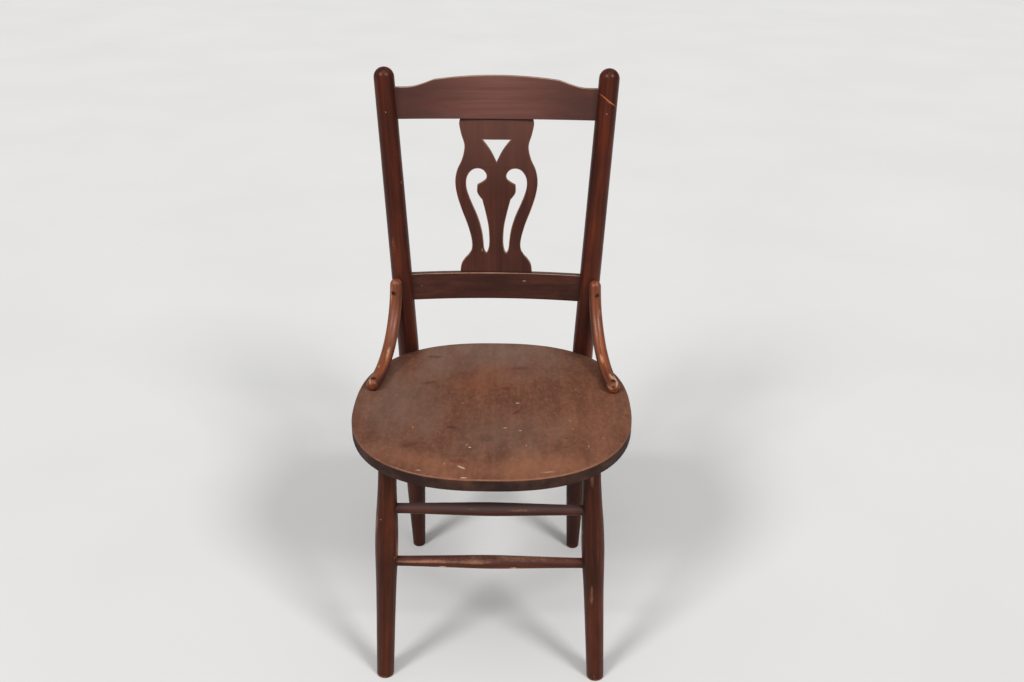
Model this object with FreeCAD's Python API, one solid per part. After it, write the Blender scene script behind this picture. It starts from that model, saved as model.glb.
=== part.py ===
import FreeCAD, Part
import math
import os

from FreeCAD import Vector

# Wooden side chair. Millimetres, +Z up, the sitter faces -Y, +X is the right-hand side seen from the front.
# While it is modelled, Y is measured from the seat's centre. On export everything moves by FRAME_SHIFT,
# so that the origin is on the floor, under the middle of the chair's outline.

# ---------------------------------------------------------------- driving dimensions

SEAT_HEIGHT = 435.0
SEAT_WIDTH = 461.0
SEAT_DEPTH = 459.0
SEAT_THICKNESS = 21.0
SEAT_SQUARENESS = 2.46        # exponent of the outline: 2 is an ellipse, more is squarer
SEAT_OUTLINE_POINTS = 72
SEAT_TOP_ROUND = 2.5
SEAT_BOTTOM_ROUND = 1.5

POST_FOOT = (154.3, 193.4)    # half spacing and depth on the floor
POST_AT_SEAT = (160.6, 203.1)
POST_DOME = (192.9, 281.6, 914.3)
POST_RADIUS = 18.7
POST_TOP_RADIUS = 17.8
POST_FOOT_RADIUS = 11.9
POST_TAPER_LENGTH = 180.0
POST_TAPER_SHAPE = ((0.35, 2.6), (0.70, 5.2))   # share of the taper, how much thicker than the foot
POST_BEND_RADIUS = 400.0

LEG_FOOT = (179.0, 168.8)     # half spacing and distance in front of the seat's centre
LEG_TOP = (158.0, 156.0)
LEG_SHAPE = (                 # share of the leg's length from the floor, radius
    (0.00, 14.4), (0.17, 15.1), (0.34, 15.9), (0.46, 16.7), (0.56, 17.9),
    (0.65, 18.5), (0.75, 17.6), (0.85, 15.6), (0.93, 14.5), (1.00, 14.2),
)
LEG_TENON_RADIUS = 10.0
LEG_TENON_LENGTH = 15.0
FOOT_ROUND = 1.8
FLOOR_CUT_DEPTH = 3.0         # how far a leg is made too long before its foot is cut level

UPPER_STRETCHER_HEIGHT = 333.3
LOWER_STRETCHER_HEIGHT = 232.5
REAR_STRETCHER_HEIGHT = 285.0
STRETCHER_END_RADIUS = 8.2
STRETCHER_MIDDLE_RADIUS = 11.0
STRETCHER_SHAPE = ((0.2, 0.2), (0.6, 1.6))      # share of the half length, how much thicker than the end
STRETCHER_STOP = 5.0          # a stretcher's end stops this far short of the leg's axis

RAIL_THICKNESS = 19.0
RAIL_BOW = 22.0
RAIL_TENON_THICKNESS = 10.0
RAIL_TENON_INSET = 5.0        # the tenon is this much lower than the rail at its top and bottom
RAIL_TENON_STOP = 5.0         # the tenon ends this far past the post's axis
RAIL_TENON_OVERLAP = 2.0      # how far the tenon runs back into the rail, so that the two join
LOWER_RAIL_BOTTOM = 93.4      # along the back, from the seat's top
LOWER_RAIL_HEIGHT = 48.0
CREST_BOTTOM = 415.7
CREST_END_HEIGHT = 53.9
CREST_MIDDLE_HEIGHT = 74.0
CREST_CORNER = (109.0, 66.6)  # where the arch meets the cove: half width, height above the bottom edge
CREST_COVE = ((158.0, 0.0), (146.0, 1.1), (131.0, 5.0))   # half width, height above the rail's end
CREST_COVE_SLOPE = 0.33       # of the cove where it meets the arch

SPLAT_THICKNESS = 10.0
SPLAT_SETBACK = 21.3
SPLAT_EDGE = (                # half width, distance below the crest rail
    (64.2, 0.0), (65.6, 9.4), (62.2, 26.4), (56.6, 47.4), (60.9, 69.6), (69.6, 88.8), (73.2, 109.0),
    (70.4, 132.2), (62.4, 158.4), (51.4, 187.6), (44.5, 213.8), (44.4, 231.8),
)
SPLAT_BASE_EDGE = (           # half width, height above the lower rail
    (50.5, 31.5), (57.6, 24.0), (63.2, 14.0), (65.2, 0.0),
)
SPLAT_COMMA = (               # half width, distance below the crest rail: hook, head, tail, inner side
    (34.0, 115.2), (26.2, 110.9), (18.8, 105.0), (18.1, 96.9), (24.1, 89.1), (34.2, 86.5), (44.8, 90.6),
    (52.5, 102.1), (54.1, 116.1), (51.3, 130.2), (43.8, 149.4), (33.7, 172.6), (26.6, 195.8),
    (23.6, 215.0), (22.0, 231.1), (18.0, 238.6), (14.2, 231.1), (12.6, 216.0), (14.2, 189.8),
    (19.6, 163.6), (25.4, 141.4),
)
SPLAT_LOBE = ((25.4, 141.4), (30.4, 135.6), (34.4, 127.6), (34.0, 115.2))
SPLAT_TRIANGLE = ((24.8, 36.2), (0.0, 75.4))    # upper corner and tip
SPLAT_TRIANGLE_HOLLOW = 1.5   # how far its slanting sides bend inwards, in X and in Z
SPLAT_TENON_THICKNESS = 6.0
SPLAT_TENON_HALF_WIDTH = 50.0
SPLAT_TENON_LENGTH = 9.0

HIP_RADIUS = 11.0
HIP_FLAT = 2.0                # how much of the rod's underside is planed off where it lies on the seat
HIP_BEND_RADIUS = 140.0
HIP_END = (206.6, 36.0)       # half spacing and depth of the lower end
HIP_LAY = 24.0                # straight length that lies on the seat
HIP_TURN_OUT = 10.4           # degrees that the rod's plane turns outwards towards its lower end
HIP_TOP_LENGTH = 4.0
HIP_END_ROUND = 7.0
HIP_TOP_SCREW_HEIGHT = 553.0
HIP_SEAT_SCREW_INSET = 11.0   # from the rod's lower end

SCREW_SLOT_WIDTH = 1.2
SCREW_SLOT_DEPTH = 0.9

POST_SCREW = {"head": 5.5, "shank": 2.8, "length": 68.0, "sunk": 4.0, "cone": 2.4}
HIP_TOP_SCREW = {"head": 4.0, "shank": 2.2, "length": 28.0, "sunk": 3.2, "cone": 1.8}
HIP_SEAT_SCREW = {"head": 4.0, "shank": 2.0, "length": 27.0, "sunk": 0.2, "cone": 1.8}

NAIL_RADIUS = 1.5
NAIL_LENGTH = 20.0
NAIL_PROUD = 0.3
CREST_NAIL_HEIGHT = 428.0
LEG_NAIL_HEIGHT = 322.0
LEG_NAIL_DEPTH = 17.0         # from the leg's axis to the nail's head
LEG_NAIL_TURN = 28.0          # degrees from straight ahead, towards the outside

BIG = 1200.0                  # larger than the chair, for cutting half spaces
TINY = 0.01                   # for choosing edges by their level

# ---------------------------------------------------------------- derived values

SEAT_BOTTOM = SEAT_HEIGHT - SEAT_THICKNESS
POST_LINE = Vector(*POST_DOME) - Vector(POST_AT_SEAT[0], POST_AT_SEAT[1], SEAT_HEIGHT)
LEAN = math.degrees(math.atan2(POST_LINE.y, POST_LINE.z))
SPLAY_PER_LENGTH = POST_LINE.x / math.hypot(POST_LINE.y, POST_LINE.z)
CREST_TOP = CREST_BOTTOM + CREST_MIDDLE_HEIGHT
CREST_BACK = RAIL_BOW + RAIL_THICKNESS / 2
SPLAT_BOTTOM = LOWER_RAIL_BOTTOM + LOWER_RAIL_HEIGHT
BACK_EDGE = (POST_AT_SEAT[1] + CREST_TOP * math.sin(math.radians(LEAN))
             + CREST_BACK * math.cos(math.radians(LEAN)))
FRAME_SHIFT = Vector(0, (SEAT_DEPTH / 2 - BACK_EDGE) / 2, 0)
UP = Vector(0, 0, 1)
ACROSS = Vector(1, 0, 0)
ORIGIN = Vector(0, 0, 0)


# ---------------------------------------------------------------- helpers

def mirrored(shape):
    """The left-hand copy of a right-hand piece."""
    return shape.mirror(ORIGIN, ACROSS)


def smooth_edge(points, start=None, end=None):
    """A smooth curve through the points, with its end directions when they are given."""
    curve = Part.BSplineCurve()
    if start is None:
        curve.interpolate(points)
    else:
        curve.interpolate(Points=points, InitialTangent=start, FinalTangent=end)
    return curve.toShape()


def line(a, b):
    return Part.LineSegment(a, b).toShape()


def arc(a, b, c):
    return Part.Arc(a, b, c).toShape()


def prism(edges, direction):
    """A closed outline of edges, pushed along a direction."""
    wire = Part.Wire(Part.__sortEdges__(edges))
    return Part.Face(wire).extrude(direction)


def placed_along(shape, start, direction):
    """Turns a shape that was made along +Z so that it lies along a direction, from a start point."""
    moved = shape.copy()
    moved.Placement = FreeCAD.Placement(start, FreeCAD.Rotation(UP, direction))
    return moved


def turned(profile_edges, length, first_radius, last_radius):
    """A solid of revolution about Z from its outer profile in the XZ plane."""
    edges = list(profile_edges)
    edges.append(line(ORIGIN, Vector(first_radius, 0, 0)))
    edges.append(line(Vector(last_radius, 0, length), Vector(0, 0, length)))
    edges.append(line(Vector(0, 0, length), ORIGIN))
    face = Part.Face(Part.Wire(Part.__sortEdges__(edges)))
    return face.revolve(ORIGIN, UP, 360)


def bent_rod(radius, start, way_in, way_out, bend_radius):
    """A round rod that bends from one direction to another, and the point where it ends."""
    angle = way_in.getAngle(way_out)
    axis = way_in.cross(way_out).normalize()
    to_centre = axis.cross(way_in).normalize()
    centre = start + to_centre * bend_radius
    disc = Part.Face(Part.Wire(Part.makeCircle(radius, start, way_in)))
    end = centre + way_in * (bend_radius * math.sin(angle)) - to_centre * (bend_radius * math.cos(angle))
    return disc.revolve(centre, axis, math.degrees(angle)), end


def above(height):
    """Everything above a level."""
    return Part.makeBox(BIG, BIG, BIG, Vector(-BIG / 2, -BIG / 2, height))


def below(height):
    """Everything below a level."""
    return Part.makeBox(BIG, BIG, BIG, Vector(-BIG / 2, -BIG / 2, height - BIG))


def rounded_foot(leg):
    """Levels a leg's foot on the floor and rounds its edge."""
    cut = leg.cut(below(0))
    rim = [edge for edge in cut.Edges if edge.BoundBox.ZMax < TINY]
    return cut.makeFillet(FOOT_ROUND, rim)


def tilted_back(shape):
    """Moves a piece from the upright frame of the back (X across, Z along the posts) into its place."""
    moved = shape.copy()
    moved.rotate(ORIGIN, ACROSS, -LEAN)
    moved.translate(Vector(0, POST_AT_SEAT[1], SEAT_HEIGHT))
    return moved


def post_half_spacing(along_back):
    """Half the distance between the posts' axes, at a distance along the back above the seat."""
    return POST_AT_SEAT[0] + SPLAY_PER_LENGTH * along_back


def point_between(low, high, height):
    """The point of a leg's axis at a height."""
    return low + (high - low) * ((height - low.z) / (high.z - low.z))


# ---------------------------------------------------------------- screws and nails

def screw_along(start, direction, spec):
    """A slotted countersunk wood screw: the head's top is at start and it points along direction."""
    cone = Part.makeCone(spec["head"], spec["shank"], spec["cone"])
    shank = Part.makeCylinder(spec["shank"], spec["length"] - spec["shank"])
    tip = Part.makeCone(spec["shank"], 0, spec["shank"] * 2, Vector(0, 0, spec["length"] - spec["shank"]))
    slot_size = (4 * spec["head"], SCREW_SLOT_WIDTH, 2 * SCREW_SLOT_DEPTH)
    slot = Part.makeBox(*slot_size, Vector(-slot_size[0] / 2, -slot_size[1] / 2, -SCREW_SLOT_DEPTH))
    whole = cone.fuse([shank, tip]).removeSplitter()
    return placed_along(whole, start, direction), placed_along(whole.cut(slot), start, direction)


def sunk_hole(start, direction, spec):
    """The round recess above a screw's head."""
    recess = Part.makeCylinder(spec["head"], 4 * spec["head"] + spec["sunk"])
    return placed_along(recess, start, direction * -1)


def nail_along(start, direction):
    """A plain nail whose slightly domed head stands a little proud of start."""
    shank = Part.makeCylinder(NAIL_RADIUS, NAIL_LENGTH + NAIL_PROUD, Vector(0, 0, -NAIL_PROUD))
    return placed_along(shank, start, direction)


# ---------------------------------------------------------------- rear posts

def post_knee():
    """Where the post's two straight parts would meet, level with the middle of the seat board."""
    at_seat = Vector(POST_AT_SEAT[0], POST_AT_SEAT[1], SEAT_HEIGHT)
    return at_seat - POST_LINE * (SEAT_THICKNESS / 2 / POST_LINE.z)


def plain_post():
    """Right-hand rear post with no joinery: tapered foot, straight, gentle bend, straight, dome."""
    foot = Vector(POST_FOOT[0], POST_FOOT[1], 0)
    knee = post_knee()
    dome = Vector(*POST_DOME)
    low_way = (knee - foot).normalize()
    high_way = (dome - knee).normalize()
    bend_start = knee - low_way * (POST_BEND_RADIUS * math.tan(low_way.getAngle(high_way) / 2))

    base = foot - low_way * FLOOR_CUT_DEPTH
    length = (bend_start - base).Length
    taper = [Vector(POST_FOOT_RADIUS, 0, 0)]
    for share, thicker in POST_TAPER_SHAPE:
        taper.append(Vector(POST_FOOT_RADIUS + thicker, 0, share * POST_TAPER_LENGTH))
    taper.append(Vector(POST_RADIUS, 0, POST_TAPER_LENGTH))
    profile = [
        smooth_edge(taper, taper[1] - taper[0], UP),
        line(taper[-1], Vector(POST_RADIUS, 0, length)),
    ]
    lower = placed_along(turned(profile, length, POST_FOOT_RADIUS, POST_RADIUS), base, low_way)

    bend, bend_end = bent_rod(POST_RADIUS, bend_start, low_way, high_way, POST_BEND_RADIUS)
    upper_length = (dome - bend_end).Length
    upper = placed_along(Part.makeCone(POST_RADIUS, POST_TOP_RADIUS, upper_length), bend_end, high_way)
    top = Part.makeSphere(POST_TOP_RADIUS, dome)
    whole = lower.fuse([bend, upper, top]).removeSplitter()
    return rounded_foot(whole)


# ---------------------------------------------------------------- seat

def seat_outline():
    """Closed rounded-square curve at the seat's underside. It starts and ends at the middle of the front."""
    points = []
    for i in range(SEAT_OUTLINE_POINTS):
        angle = 2 * math.pi * (i / SEAT_OUTLINE_POINTS - 0.25)
        reach = abs(math.cos(angle)) ** SEAT_SQUARENESS + abs(math.sin(angle)) ** SEAT_SQUARENESS
        radius = reach ** (-1 / SEAT_SQUARENESS)
        x = SEAT_WIDTH / 2 * radius * math.cos(angle)
        y = SEAT_DEPTH / 2 * radius * math.sin(angle)
        points.append(Vector(x, y, SEAT_BOTTOM))
    curve = Part.BSplineCurve()
    curve.interpolate(Points=points, PeriodicFlag=True)
    return Part.Wire(curve.toShape())


def plain_seat():
    """The seat board before its sockets are cut."""
    board = Part.Face(seat_outline()).extrude(Vector(0, 0, SEAT_THICKNESS))
    top = [edge for edge in board.Edges if edge.BoundBox.ZMin > SEAT_HEIGHT - TINY]
    board = board.makeFillet(SEAT_TOP_ROUND, top)
    bottom = [edge for edge in board.Edges if edge.BoundBox.ZMax < SEAT_BOTTOM + TINY]
    return board.makeFillet(SEAT_BOTTOM_ROUND, bottom)


# ---------------------------------------------------------------- front legs

def leg_axis():
    foot = Vector(LEG_FOOT[0], -LEG_FOOT[1], 0)
    top = Vector(LEG_TOP[0], -LEG_TOP[1], SEAT_BOTTOM)
    return foot, top


def plain_front_leg():
    """Right-hand front leg: turned body up to the seat's underside, with no tenon."""
    foot, top = leg_axis()
    way = (top - foot).normalize()
    base = foot - way * FLOOR_CUT_DEPTH
    length = (top - base).Length + FLOOR_CUT_DEPTH
    points = [Vector(radius, 0, share * length) for share, radius in LEG_SHAPE]
    body = turned([smooth_edge(points)], length, LEG_SHAPE[0][1], LEG_SHAPE[-1][1])
    body = placed_along(body, base, way)
    return rounded_foot(body.cut(above(SEAT_BOTTOM)))


def leg_tenon():
    """Round tenon on top of the right-hand front leg."""
    foot, top = leg_axis()
    way = (top - foot).normalize()
    root = top - way * LEG_TENON_LENGTH
    return placed_along(Part.makeCylinder(LEG_TENON_RADIUS, 2 * LEG_TENON_LENGTH), root, way)


# ---------------------------------------------------------------- stretchers

def stretcher(right_end):
    """Turned bar along X, thicker in the middle. Its plain ends fit straight into the legs' bores."""
    half = right_end.x - STRETCHER_STOP
    points = [Vector(STRETCHER_END_RADIUS, 0, 0)]
    for share, thicker in STRETCHER_SHAPE:
        points.append(Vector(STRETCHER_END_RADIUS + thicker, 0, share * half))
    points += [Vector(point.x, 0, 2 * half - point.z) for point in reversed(points)]
    points.insert(len(points) // 2, Vector(STRETCHER_MIDDLE_RADIUS, 0, half))
    bar = turned([smooth_edge(points)], 2 * half, STRETCHER_END_RADIUS, STRETCHER_END_RADIUS)
    return placed_along(bar, Vector(-half, right_end.y, right_end.z), ACROSS)


def front_stretcher(height):
    foot, top = leg_axis()
    return stretcher(point_between(foot, top, height))


def rear_stretcher():
    foot = Vector(POST_FOOT[0], POST_FOOT[1], 0)
    return stretcher(point_between(foot, post_knee(), REAR_STRETCHER_HEIGHT))


# ---------------------------------------------------------------- back rails

def bowed_board(bottom, height):
    """Board bent backwards about an upright axis, wide enough to reach both posts' axes."""
    half = post_half_spacing(bottom + height / 2)
    radius = (half ** 2 + RAIL_BOW ** 2) / (2 * RAIL_BOW)
    centre = Vector(0, RAIL_BOW - radius, bottom)
    outer = Part.makeCylinder(radius + RAIL_THICKNESS / 2, height, centre)
    inner = Part.makeCylinder(radius - RAIL_THICKNESS / 2, height, centre)
    window = Part.makeBox(2 * half, 4 * RAIL_THICKNESS, height, Vector(-half, -2 * RAIL_THICKNESS, bottom))
    return outer.cut(inner).common(window)


def rail_tenons(bottom, height):
    """The two flat tongues that go into the posts."""
    low = bottom + RAIL_TENON_INSET
    tall = height - 2 * RAIL_TENON_INSET
    reach = post_half_spacing(bottom + height / 2) + RAIL_TENON_STOP
    length = POST_RADIUS + RAIL_TENON_STOP + RAIL_TENON_OVERLAP
    right = Part.makeBox(length, RAIL_TENON_THICKNESS, tall,
                         Vector(reach - length, -RAIL_TENON_THICKNESS / 2, low))
    return [tilted_back(right), tilted_back(mirrored(right))]


def crest_outline():
    """Front view of the crest rail, as a thick block: straight below, arched above, coved shoulders."""
    half = post_half_spacing(CREST_BOTTOM + CREST_END_HEIGHT)
    shoulder = CREST_BOTTOM + CREST_END_HEIGHT
    corner = Vector(CREST_CORNER[0], 0, CREST_BOTTOM + CREST_CORNER[1])
    cove = [Vector(x, 0, shoulder + rise) for x, rise in CREST_COVE]
    cove.append(corner)
    right = [
        line(Vector(0, 0, CREST_BOTTOM), Vector(half, 0, CREST_BOTTOM)),
        line(Vector(half, 0, CREST_BOTTOM), Vector(half, 0, shoulder)),
        line(Vector(half, 0, shoulder), cove[0]),
        smooth_edge(cove, Vector(-1, 0, 0), Vector(-1, 0, CREST_COVE_SLOPE)),
    ]
    left = [mirrored(edge) for edge in right]
    arch = arc(corner, Vector(0, 0, CREST_TOP), Vector(-corner.x, 0, corner.z))
    block = prism(right + left + [arch], Vector(0, 4 * RAIL_THICKNESS, 0))
    block.translate(Vector(0, -2 * RAIL_THICKNESS, 0))
    return block


def crest_rail(posts):
    board = bowed_board(CREST_BOTTOM, CREST_MIDDLE_HEIGHT).common(crest_outline())
    scribed = tilted_back(board).cut(posts)
    return scribed.fuse(rail_tenons(CREST_BOTTOM, CREST_END_HEIGHT)).removeSplitter()


def lower_back_rail(posts):
    scribed = tilted_back(bowed_board(LOWER_RAIL_BOTTOM, LOWER_RAIL_HEIGHT)).cut(posts)
    return scribed.fuse(rail_tenons(LOWER_RAIL_BOTTOM, LOWER_RAIL_HEIGHT)).removeSplitter()


# ---------------------------------------------------------------- splat

def below_crest(pairs):
    """Points of the splat's front view, given as half width and distance below the crest rail."""
    return [Vector(x, 0, CREST_BOTTOM - drop) for x, drop in pairs]


def splat_outline():
    """Right-hand side of the vase, from under the crest rail down to the lower rail."""
    base = [Vector(x, 0, SPLAT_BOTTOM + rise) for x, rise in SPLAT_BASE_EDGE]
    upper = below_crest(SPLAT_EDGE) + [base[0]]
    return [smooth_edge(upper), smooth_edge(base)]


def splat_opening():
    """Right-hand comma: a round head with a hook, and a long tail that narrows downwards."""
    return [smooth_edge(below_crest(SPLAT_COMMA)), smooth_edge(below_crest(SPLAT_LOBE))]


def splat_triangle():
    """Triangle that points down, with slightly hollow sides."""
    right, tip = below_crest(SPLAT_TRIANGLE)
    left = Vector(-right.x, 0, right.z)
    bend = Vector(-SPLAT_TRIANGLE_HOLLOW, 0, SPLAT_TRIANGLE_HOLLOW)
    side = arc(right, (right + tip) * 0.5 + bend, tip)
    return prism([line(left, right), side, mirrored(side)], Vector(0, SPLAT_THICKNESS, 0))


def splat_tenons():
    """Tongues at the splat's top and bottom edges."""
    size = (2 * SPLAT_TENON_HALF_WIDTH, SPLAT_TENON_THICKNESS, 2 * SPLAT_TENON_LENGTH)
    y = SPLAT_SETBACK - SPLAT_TENON_THICKNESS / 2
    tenons = []
    for edge in (CREST_BOTTOM, SPLAT_BOTTOM):
        corner = Vector(-SPLAT_TENON_HALF_WIDTH, y, edge - SPLAT_TENON_LENGTH)
        tenons.append(tilted_back(Part.makeBox(*size, corner)))
    return tenons


def back_splat():
    right = splat_outline()
    left = [mirrored(edge) for edge in right]
    top_x = SPLAT_EDGE[0][0]
    bottom_x = SPLAT_BASE_EDGE[-1][0]
    across_top = line(Vector(-top_x, 0, CREST_BOTTOM), Vector(top_x, 0, CREST_BOTTOM))
    across_bottom = line(Vector(-bottom_x, 0, SPLAT_BOTTOM), Vector(bottom_x, 0, SPLAT_BOTTOM))
    board = prism(right + left + [across_top, across_bottom], Vector(0, SPLAT_THICKNESS, 0))
    comma = prism(splat_opening(), Vector(0, SPLAT_THICKNESS, 0))
    board = board.cut([comma, mirrored(comma), splat_triangle()])
    board.translate(Vector(0, SPLAT_SETBACK - SPLAT_THICKNESS / 2, 0))
    return tilted_back(board).fuse(splat_tenons()).removeSplitter()


# ---------------------------------------------------------------- hip rests

def hip_frame():
    """The lower end of the right-hand rod's axis, and its direction away from that end."""
    height = SEAT_HEIGHT + HIP_RADIUS - HIP_FLAT
    turn = math.radians(HIP_TURN_OUT)
    return Vector(HIP_END[0], HIP_END[1], height), Vector(-math.sin(turn), math.cos(turn), 0)


def plain_hip_rest():
    """Right-hand bent rod: lies on the seat, bends up, ends in a dome against the post."""
    end, back = hip_frame()
    bend_start = end + back * HIP_LAY
    lean = math.radians(LEAN)
    rise = (back * math.sin(lean) + UP * math.cos(lean)).normalize()
    bend, bend_end = bent_rod(HIP_RADIUS, bend_start, back, rise, HIP_BEND_RADIUS)
    dome = bend_end + rise * HIP_TOP_LENGTH
    lay = placed_along(Part.makeCylinder(HIP_RADIUS, HIP_LAY), end, back)
    rim = [edge for edge in lay.Edges if (edge.BoundBox.Center - end).Length < TINY]
    lay = lay.makeFillet(HIP_END_ROUND, rim)
    top = placed_along(Part.makeCylinder(HIP_RADIUS, HIP_TOP_LENGTH), bend_end, rise)
    rod = lay.fuse([bend, top, Part.makeSphere(HIP_RADIUS, dome)]).removeSplitter()
    return rod.cut(below(SEAT_HEIGHT))


# ---------------------------------------------------------------- where the fasteners go

def post_screw_line():
    """Level line from outside the right-hand post towards the seat board, and the post's outer point."""
    knee = post_knee()
    a, b, n = SEAT_WIDTH / 2, SEAT_DEPTH / 2, SEAT_SQUARENESS
    outward = Vector((knee.x / a) ** (n - 1) / a, (knee.y / b) ** (n - 1) / b, 0).normalize()
    head = knee + outward * (POST_RADIUS - POST_SCREW["sunk"])
    return head, outward * -1


def hip_top_screw_line():
    """Line through the right-hand rod, near its top, into the post's axis."""
    end, back = hip_frame()
    drop = HIP_TOP_SCREW_HEIGHT - end.z - HIP_BEND_RADIUS
    rod = end + back * (HIP_LAY + math.sqrt(HIP_BEND_RADIUS ** 2 - drop ** 2))
    rod.z = HIP_TOP_SCREW_HEIGHT
    post = point_between(post_knee(), Vector(*POST_DOME), HIP_TOP_SCREW_HEIGHT)
    inward = (post - rod).normalize()
    return rod - inward * (HIP_RADIUS - HIP_TOP_SCREW["sunk"]), inward


def hip_seat_screw_line():
    """Upright line through the right-hand rod's lower end into the seat."""
    end, back = hip_frame()
    place = end + back * HIP_SEAT_SCREW_INSET
    return place + UP * (HIP_RADIUS - HIP_SEAT_SCREW["sunk"]), UP * -1


def crest_nail_line():
    """From the front of the right-hand post, at the height of the crest rail, straight back."""
    front = Part.Vertex(post_half_spacing(CREST_NAIL_HEIGHT), -POST_TOP_RADIUS, CREST_NAIL_HEIGHT)
    return tilted_back(front).Point, Vector(0, 1, 0)


def leg_nail_line():
    """From the outer front of the left-hand front leg towards its axis."""
    foot, top = leg_axis()
    axis = point_between(foot, top, LEG_NAIL_HEIGHT)
    turn = math.radians(LEG_NAIL_TURN)
    way = Vector(math.sin(turn), math.cos(turn), 0)
    return Vector(-axis.x, axis.y, axis.z) - way * LEG_NAIL_DEPTH, way


# ---------------------------------------------------------------- assembly

def build():
    nodes = {}
    right_post = plain_post()
    posts = [right_post, mirrored(right_post)]
    crest = crest_rail(posts)
    lower = lower_back_rail(posts)
    splat = back_splat()
    upper_bar = front_stretcher(UPPER_STRETCHER_HEIGHT)
    lower_bar = front_stretcher(LOWER_STRETCHER_HEIGHT)
    rear_bar = rear_stretcher()
    tenon = leg_tenon()
    leg = plain_front_leg().fuse(tenon).removeSplitter()
    leg = leg.cut([upper_bar, lower_bar])

    post_hole, post_screw = screw_along(*post_screw_line(), POST_SCREW)
    hip_hole, hip_screw = screw_along(*hip_top_screw_line(), HIP_TOP_SCREW)
    foot_hole, foot_screw = screw_along(*hip_seat_screw_line(), HIP_SEAT_SCREW)
    crest_nail = nail_along(*crest_nail_line())
    leg_nail = nail_along(*leg_nail_line())

    post = right_post.cut([rear_bar, post_hole, sunk_hole(*post_screw_line(), POST_SCREW), hip_hole,
                           crest_nail])
    post = post.cut([crest, lower])
    hip = plain_hip_rest().cut(right_post)
    hip = hip.cut([hip_hole, sunk_hole(*hip_top_screw_line(), HIP_TOP_SCREW),
                   foot_hole, sunk_hole(*hip_seat_screw_line(), HIP_SEAT_SCREW)])

    seat = plain_seat()
    for cutter in (right_post, tenon, post_hole, foot_hole):
        seat = seat.cut(cutter).cut(mirrored(cutter))

    nodes["seat_board"] = seat
    nodes["rear_post_right"] = post
    nodes["rear_post_left"] = mirrored(post)
    nodes["front_leg_right"] = leg
    nodes["front_leg_left"] = mirrored(leg).cut(leg_nail)
    nodes["front_stretcher_upper"] = upper_bar.cut(leg_nail)
    nodes["front_stretcher_lower"] = lower_bar
    nodes["rear_stretcher"] = rear_bar
    nodes["crest_rail"] = crest.cut(splat).cut([crest_nail, mirrored(crest_nail)])
    nodes["lower_back_rail"] = lower.cut(splat)
    nodes["back_splat"] = splat
    nodes["hip_rest_right"] = hip
    nodes["hip_rest_left"] = mirrored(hip)
    nodes["post_seat_screws"] = Part.Compound([post_screw, mirrored(post_screw)])
    nodes["hip_rest_post_screws"] = Part.Compound([hip_screw, mirrored(hip_screw)])
    nodes["hip_rest_seat_screws"] = Part.Compound([foot_screw, mirrored(foot_screw)])
    nodes["crest_rail_nails"] = Part.Compound([crest_nail, mirrored(crest_nail)])
    nodes["front_leg_nail"] = leg_nail
    return nodes


def export(nodes):
    os.makedirs("parts", exist_ok=True)
    for name, shape in nodes.items():
        moved = shape.copy()
        moved.translate(FRAME_SHIFT)
        print(name, len(moved.Solids), "solids", round(moved.Volume), "mm3", moved.isValid())
        moved.exportStep("parts/" + name + ".step")


export(build())
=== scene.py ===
import math

import bmesh
import bpy
from mathutils import Matrix, Vector, noise


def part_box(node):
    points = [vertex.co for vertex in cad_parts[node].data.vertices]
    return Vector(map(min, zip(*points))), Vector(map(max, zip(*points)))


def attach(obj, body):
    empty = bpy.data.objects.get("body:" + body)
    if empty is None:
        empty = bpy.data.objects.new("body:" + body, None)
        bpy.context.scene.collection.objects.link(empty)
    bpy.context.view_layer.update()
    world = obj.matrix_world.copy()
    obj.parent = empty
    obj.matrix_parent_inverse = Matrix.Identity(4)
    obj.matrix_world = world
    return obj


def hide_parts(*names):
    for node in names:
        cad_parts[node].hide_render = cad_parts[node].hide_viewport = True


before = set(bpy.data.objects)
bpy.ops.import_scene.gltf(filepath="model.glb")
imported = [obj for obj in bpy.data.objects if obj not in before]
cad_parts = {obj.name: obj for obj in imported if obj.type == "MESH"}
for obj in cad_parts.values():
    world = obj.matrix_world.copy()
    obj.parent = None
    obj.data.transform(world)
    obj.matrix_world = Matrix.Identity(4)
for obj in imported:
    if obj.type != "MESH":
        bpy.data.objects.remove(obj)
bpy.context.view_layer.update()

# Looks for the wooden side chair. Metres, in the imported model's frame: +Z up, the sitter faces -Y.
# "Along the back" is the distance from the seat's top, measured along the leaning posts.

# ---------------------------------------------------------------- sizes

SEAT_LOW, SEAT_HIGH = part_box("seat_board")
SEAT_TOP = SEAT_HIGH[2]
SEAT_BOTTOM = SEAT_LOW[2]
SEAT_HALF_WIDTH = (SEAT_HIGH[0] - SEAT_LOW[0]) / 2
SEAT_HALF_DEPTH = (SEAT_HIGH[1] - SEAT_LOW[1]) / 2
SEAT_Y = (SEAT_HIGH[1] + SEAT_LOW[1]) / 2
SEAT_SQUARENESS = 2.46
SEAT_TOP_ROUND = 0.0026
SEAT_BOTTOM_ROUND = 0.0016
SEAT_SIDES = 240
# how dark the seat's underside is painted: painted shade under the seat
SEAT_UNDER_PAINTED_SHADE = 0.45
SEAT_SIDE_STAIN_AND_SHADE = 1.0        # how dark the seat's side is: an old stain, deepened with painted shade from light falling from above

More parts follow.
